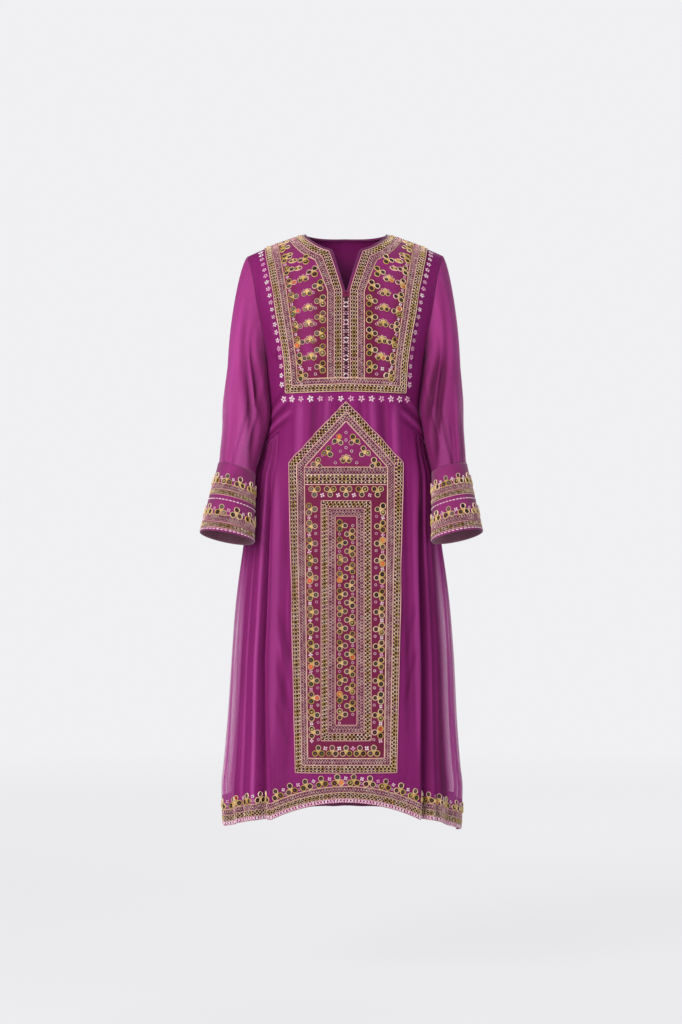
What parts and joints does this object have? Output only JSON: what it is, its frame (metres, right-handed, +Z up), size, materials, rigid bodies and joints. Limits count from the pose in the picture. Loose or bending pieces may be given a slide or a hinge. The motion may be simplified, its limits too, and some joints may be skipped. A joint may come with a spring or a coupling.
{
  "type": "embroidered dress",
  "caption": "Long-sleeved midi dress, hollow as worn, with a slit neck, embroidered yoke, pointed pocket panel, gathered side gores and flared embroidered cuffs.",
  "frame": {"origin": "middle of the neck between the two high shoulder points, where the wearer's shoulders hold the dress", "axes": "+Z up along the length of the dress, -Y towards the front, +X towards the wearer's left"},
  "size_m": [0.561, 0.3222, 1.1993],
  "materials": {
    "magenta_chiffon": "sheer crepe chiffon, soft sheen",
    "embroidered_ground": "cloth covered with couched cord, rings and chain stitch",
    "cuff_embroidery": "double cloth with bands of couched cord, rings and chain stitch",
    "binding": "plain rolled binding, plum",
    "facing": "plain facing cloth inside the hem"
  },
  "bodies": {
    "root": {"front_panel": "magenta_chiffon", "back_panel": "magenta_chiffon", "side_gore_right": "magenta_chiffon", "side_gore_left": "magenta_chiffon", "sleeve_right": "magenta_chiffon", "sleeve_left": "magenta_chiffon", "yoke_panel": "embroidered_ground", "pocket_panel": "embroidered_ground", "cuff_right": "cuff_embroidery", "cuff_left": "cuff_embroidery", "neck_binding": "binding", "hem_facing_front": "facing", "hem_facing_back": "facing", "hem_facing_right": "facing", "hem_facing_left": "facing"}
  },
  "joints": []
}
